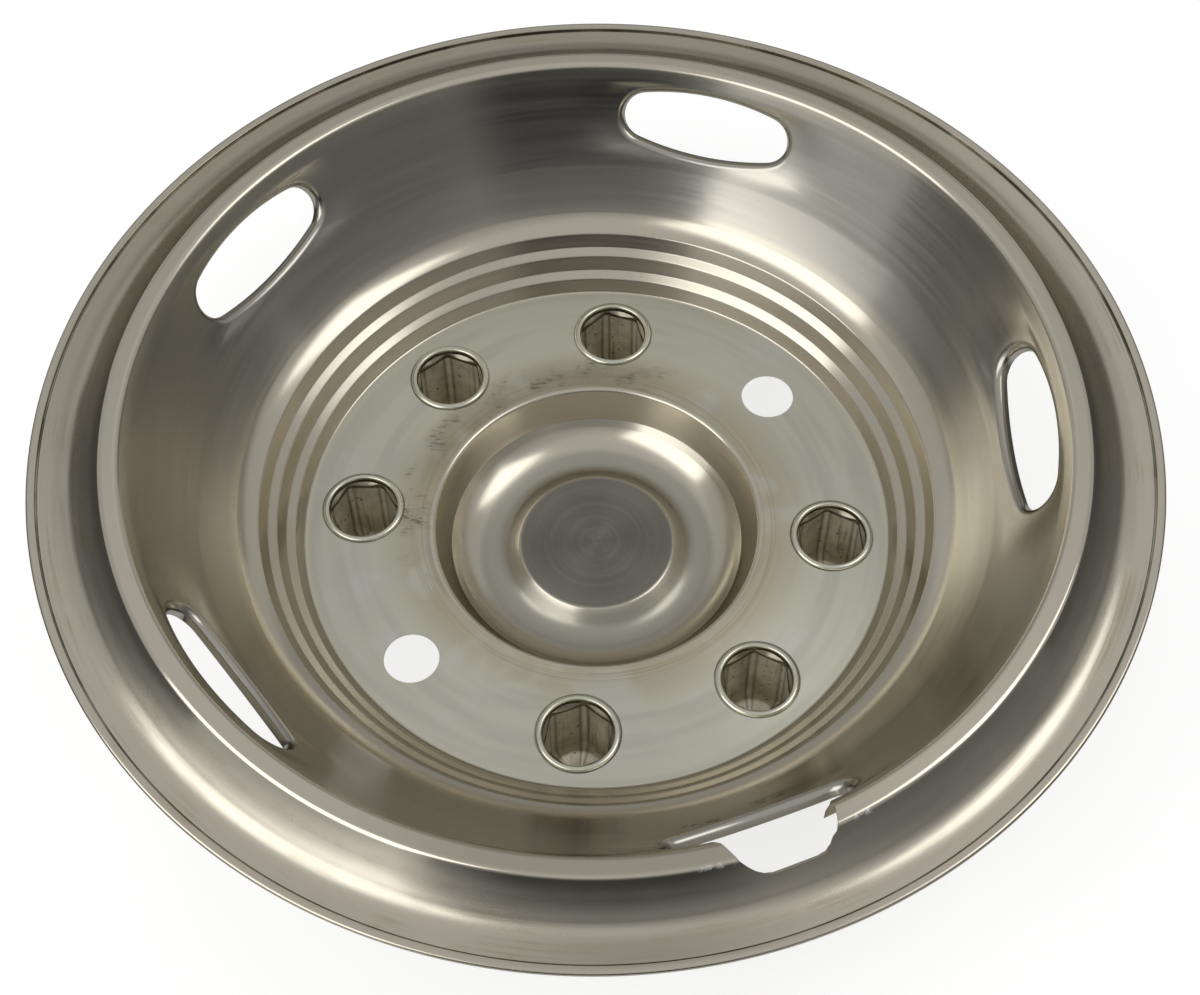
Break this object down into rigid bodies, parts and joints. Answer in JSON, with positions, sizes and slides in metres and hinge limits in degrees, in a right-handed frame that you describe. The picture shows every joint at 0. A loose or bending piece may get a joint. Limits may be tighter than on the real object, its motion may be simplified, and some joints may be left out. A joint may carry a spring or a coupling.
{
  "type": "truck wheel simulator",
  "caption": "Dished stainless wheel liner, open at the back, with oval hand holes, a valve notch, stepped rings, a round hub dome and hexagonal lug nut covers.",
  "frame": {"origin": "on the wheel axis, at the level of the closed ends of the lug nut covers, on which the liner lies face down", "axes": "+Z along the wheel axis to the open back of the liner, +X through the middle of an open lug hole"},
  "size_m": [0.4716, 0.4716, 0.1314],
  "materials": {
    "liner_stainless": "polished in rings, dull and stained in places",
    "cover_stainless": "drawn, dull inside"
  },
  "bodies": {
    "root": {"wheel_liner": "liner_stainless", "lug_nut_cover_1": "cover_stainless", "lug_nut_cover_2": "cover_stainless", "lug_nut_cover_3": "cover_stainless", "lug_nut_cover_4": "cover_stainless", "lug_nut_cover_5": "cover_stainless", "lug_nut_cover_6": "cover_stainless"}
  },
  "joints": []
}
